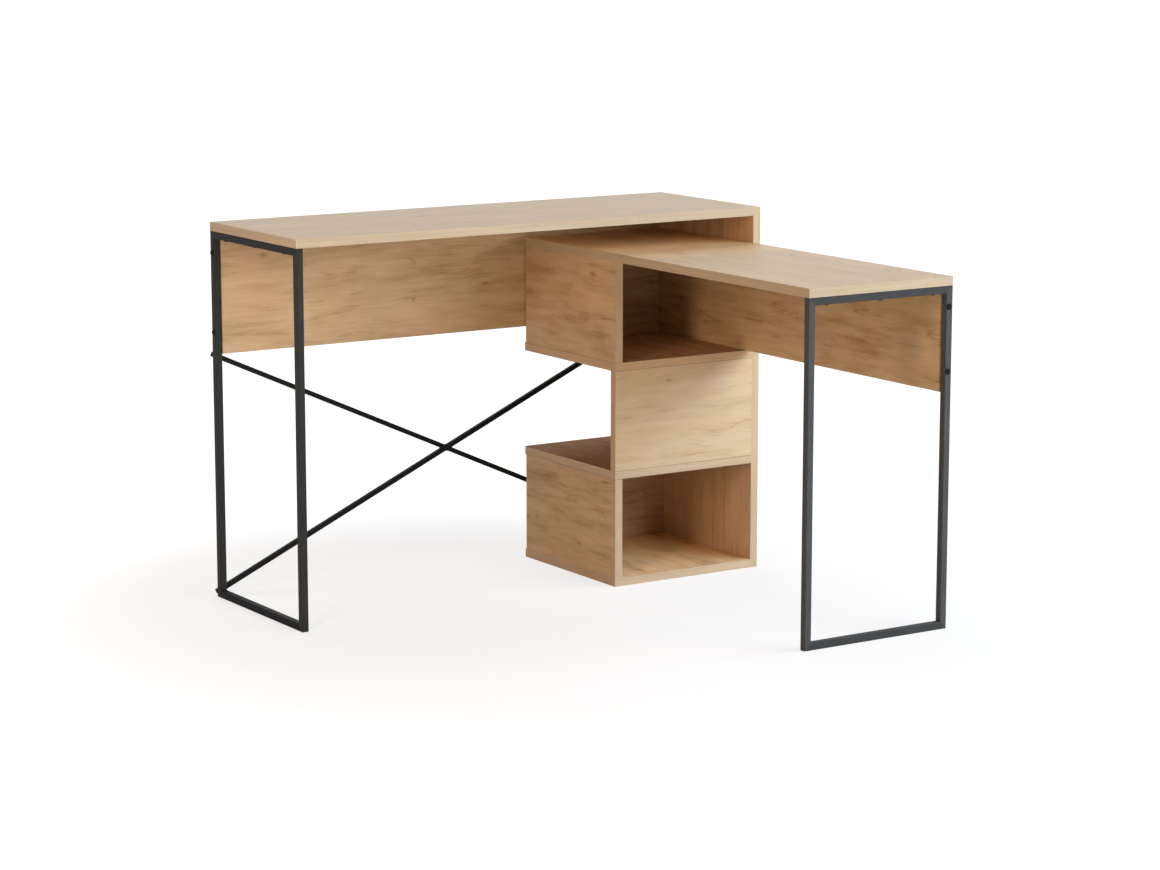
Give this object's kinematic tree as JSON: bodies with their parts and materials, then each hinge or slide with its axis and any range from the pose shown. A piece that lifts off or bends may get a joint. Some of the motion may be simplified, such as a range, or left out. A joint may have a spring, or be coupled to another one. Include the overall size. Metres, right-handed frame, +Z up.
{
  "type": "corner desk",
  "caption": "L-shaped corner desk: a long desktop over a lower one set at a right angle, an open shelf tower at the corner, slim square-tube end frames and a crossed brace.",
  "frame": {"origin": "bottom centre of the whole desk's box, on the floor", "axes": "+X along the long desktop towards the shelf tower, +Y from the lower desktop's free end towards the modesty panel at the back, +Z up"},
  "size_m": [1.104, 1.0443, 0.774],
  "materials": {
    "oak_board": "matt oak-pattern laminate on 18 mm board",
    "oak_edge_band": "matt oak-pattern edge band, 1 mm",
    "black_powder_coat": "fine-textured satin powder coat on steel tube",
    "black_plastic": "moulded end plug",
    "black_screw": "black screw, cross recess",
    "beech_dowel": "turned beech",
    "zinc_fitting": "die-cast zinc and plated steel"
  },
  "bodies": {
    "root": {"main_desktop": "oak_board", "lower_desktop": "oak_board", "right_side_panel": "oak_board", "main_modesty_panel": "oak_board", "lower_modesty_panel": "oak_board", "tower_bottom_board": "oak_board", "tower_lower_shelf": "oak_board", "tower_upper_shelf": "oak_board", "lower_box_left_panel": "oak_board", "upper_box_left_panel": "oak_board", "lower_box_back_panel": "oak_board", "upper_box_back_panel": "oak_board", "middle_front_panel": "oak_board", "main_desktop_edge_band": "oak_edge_band", "lower_desktop_edge_band": "oak_edge_band", "right_side_panel_edge_band": "oak_edge_band", "main_modesty_panel_edge_band": "oak_edge_band", "lower_modesty_panel_edge_band": "oak_edge_band", "tower_bottom_board_edge_band": "oak_edge_band", "tower_lower_shelf_edge_band": "oak_edge_band", "tower_upper_shelf_edge_band": "oak_edge_band", "lower_box_left_panel_edge_band": "oak_edge_band", "upper_box_left_panel_edge_band": "oak_edge_band", "middle_front_panel_edge_band": "oak_edge_band", "left_frame_front_leg": "black_powder_coat", "left_frame_rear_leg": "black_powder_coat", "left_frame_top_rail": "black_powder_coat", "left_frame_foot_rail": "black_powder_coat", "front_frame_left_leg": "black_powder_coat", "front_frame_right_leg": "black_powder_coat", "front_frame_top_rail": "black_powder_coat", "front_frame_foot_rail": "black_powder_coat", "brace_long_bar": "black_powder_coat", "brace_upper_half_bar": "black_powder_coat", "brace_lower_half_bar": "black_powder_coat", "brace_end_plugs": "black_plastic", "left_frame_rail_screws": "black_screw", "front_frame_rail_screws": "black_screw", "left_frame_panel_screws": "black_screw", "front_frame_panel_screws": "black_screw", "brace_screws": "black_screw", "desktop_dowels": "beech_dowel", "tower_dowels": "beech_dowel", "desktop_cam_bolts": "zinc_fitting", "tower_cam_bolts": "zinc_fitting", "desktop_cam_locks": "zinc_fitting", "tower_cam_locks": "zinc_fitting"}
  },
  "joints": []
}
